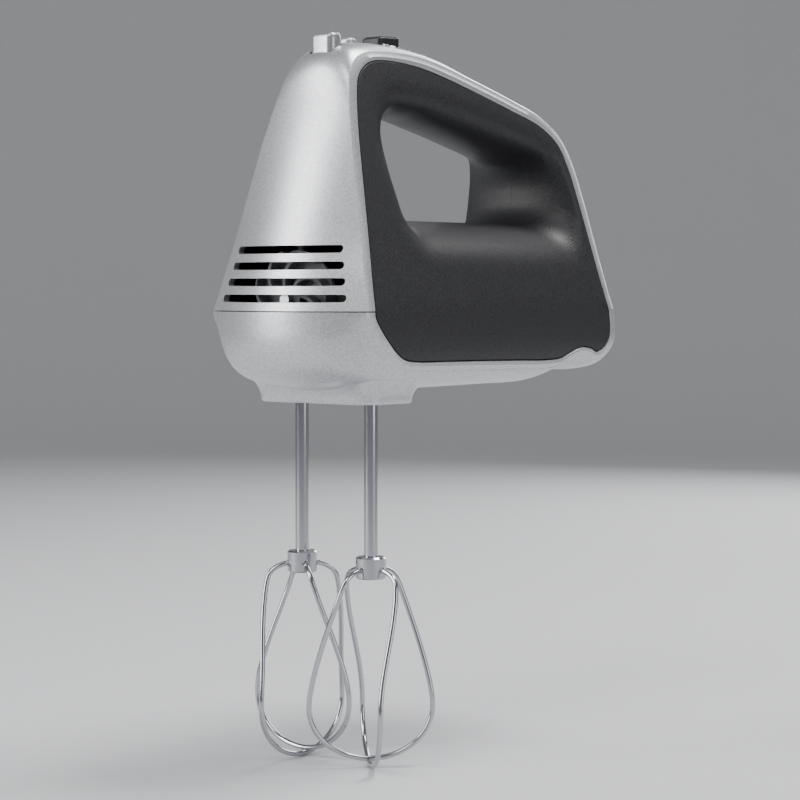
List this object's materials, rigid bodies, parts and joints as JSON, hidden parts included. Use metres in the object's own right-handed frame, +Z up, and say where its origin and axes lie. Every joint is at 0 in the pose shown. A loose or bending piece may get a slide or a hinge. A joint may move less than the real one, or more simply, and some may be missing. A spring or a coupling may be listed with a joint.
{
  "type": "hand mixer",
  "caption": "Silver and charcoal hand mixer with an enclosed grip, paired twisted-wire beaters, speed slider and beater eject button.",
  "frame": {"origin": "midway between the two spindle axes, on the bottom face of the beater boss", "axes": "+X across the body to the right seen from the front vents, +Y from the vents to the rear, +Z up, away from the beaters"},
  "size_m": [0.0932, 0.195, 0.3177],
  "materials": {
    "silver_shell": "silver metal-flake paint on moulded ABS, satin",
    "charcoal_panel": "soft-touch charcoal thermoplastic, fine matt texture",
    "satin_silver": "satin silver paint on moulded ABS",
    "black_control": "black moulded ABS, fine matt texture",
    "black_nylon": "glass-filled nylon, black",
    "natural_nylon": "natural acetal, off white",
    "cream_plastic": "cream phenolic moulding",
    "polished_steel": "polished chromed steel",
    "turned_steel": "turned steel",
    "zinc_screw": "zinc-plated steel",
    "spring_steel": "drawn spring wire",
    "lamination": "stacked electrical steel",
    "copper_winding": "varnished copper wire",
    "sintered_bronze": "oil-filled sintered bronze",
    "brass_sheet": "folded brass sheet",
    "carbon": "pressed carbon",
    "fan_plastic": "light grey polypropylene",
    "board_green": "glass-epoxy laminate, green lacquer",
    "capacitor_yellow": "yellow flame-retardant case",
    "soft_pvc": "black flexible PVC"
  },
  "bodies": {
    "housing": {"upper_housing": "silver_shell", "lower_housing": "silver_shell", "left_side_panel": "charcoal_panel", "right_side_panel": "charcoal_panel", "housing_screws": "zinc_screw", "gearbox_frame": "black_nylon", "gearbox_cover": "black_nylon", "frame_screws": "zinc_screw", "cover_screws": "zinc_screw", "spindle_bushes": "sintered_bronze", "front_bearing": "sintered_bronze", "rear_bearing": "sintered_bronze", "rear_bearing_bracket": "black_nylon", "bracket_screws": "zinc_screw", "stator_core": "lamination", "field_coils": "copper_winding", "stator_bolts": "zinc_screw", "brush_holders": "brass_sheet", "carbon_brushes": "carbon", "brush_springs": "spring_steel", "eject_guide": "black_nylon", "speed_switch": "cream_plastic", "switch_screws": "zinc_screw", "control_board": "board_green", "board_diodes": "black_nylon", "suppressor_capacitor": "capacitor_yellow", "cord_bushing": "soft_pvc", "cord_clamp": "black_nylon", "clamp_screws": "zinc_screw", "terminal_block": "cream_plastic"},
    "rotor": {"motor_shaft": "turned_steel", "worm": "turned_steel", "armature_core": "lamination", "armature_windings": "copper_winding", "commutator": "copper_winding", "cooling_fan": "fan_plastic", "thrust_washer": "turned_steel"},
    "left_drive": {"left_spindle": "turned_steel", "left_worm_gear": "natural_nylon", "left_retaining_ring": "spring_steel"},
    "right_drive": {"right_spindle": "turned_steel", "right_worm_gear": "natural_nylon", "right_retaining_ring": "spring_steel"},
    "ejector": {"eject_button": "satin_silver", "eject_rod": "black_nylon", "eject_spring": "spring_steel"},
    "left_pin": {"left_ejector_pin": "turned_steel"},
    "right_pin": {"right_ejector_pin": "turned_steel"},
    "left_beater": {"left_beater_shaft": "polished_steel", "left_beater_collar": "polished_steel", "left_under_wire": "polished_steel", "left_over_wire": "polished_steel"},
    "right_beater": {"right_beater_shaft": "polished_steel", "right_beater_collar": "polished_steel", "right_under_wire": "polished_steel", "right_over_wire": "polished_steel"},
    "speed_control": {"speed_slider": "black_control", "slider_carriage": "natural_nylon"}
  },
  "joints": [
    {"name": "motor_spin", "type": "hinge", "parent": "housing", "child": "rotor", "pos_m": [0, 0, 0.0445], "axis": [0, 1, 0], "continuous": true},
    {"name": "left_spindle_spin", "type": "hinge", "parent": "housing", "child": "left_drive", "pos_m": [-0.02, 0, 0.05], "axis": [0, 0, 1], "continuous": true},
    {"name": "right_spindle_spin", "type": "hinge", "parent": "housing", "child": "right_drive", "pos_m": [0.02, 0, 0.05], "axis": [0, 0, 1], "continuous": true},
    {"name": "eject_press", "type": "slide", "parent": "housing", "child": "ejector", "axis": [0, 0, -1], "range_m": [0, 0.009], "stiffness_N_per_m": 400, "springref_m": -0.012, "deforming": ["eject_spring"]},
    {"name": "left_pin_slide", "type": "slide", "parent": "left_drive", "child": "left_pin", "axis": [0, 0, -1], "range_m": [0, 0.009]},
    {"name": "right_pin_slide", "type": "slide", "parent": "right_drive", "child": "right_pin", "axis": [0, 0, -1], "range_m": [0, 0.009]},
    {"name": "left_beater_pull", "type": "slide", "parent": "left_pin", "child": "left_beater", "axis": [0, 0, -1], "range_m": [0, 0.032]},
    {"name": "right_beater_pull", "type": "slide", "parent": "right_pin", "child": "right_beater", "axis": [0, 0, -1], "range_m": [0, 0.032]},
    {"name": "speed_slide", "type": "slide", "parent": "housing", "child": "speed_control", "axis": [0, 0.9962, -0.0872], "range_m": [0, 0.022]}
  ],
  "couplings": [
    {"joint": "left_spindle_spin", "follows": "motor_spin", "ratio": -0.0625},
    {"joint": "right_spindle_spin", "follows": "motor_spin", "ratio": 0.0625},
    {"joint": "left_pin_slide", "follows": "eject_press", "ratio": 1},
    {"joint": "right_pin_slide", "follows": "eject_press", "ratio": 1}
  ]
}
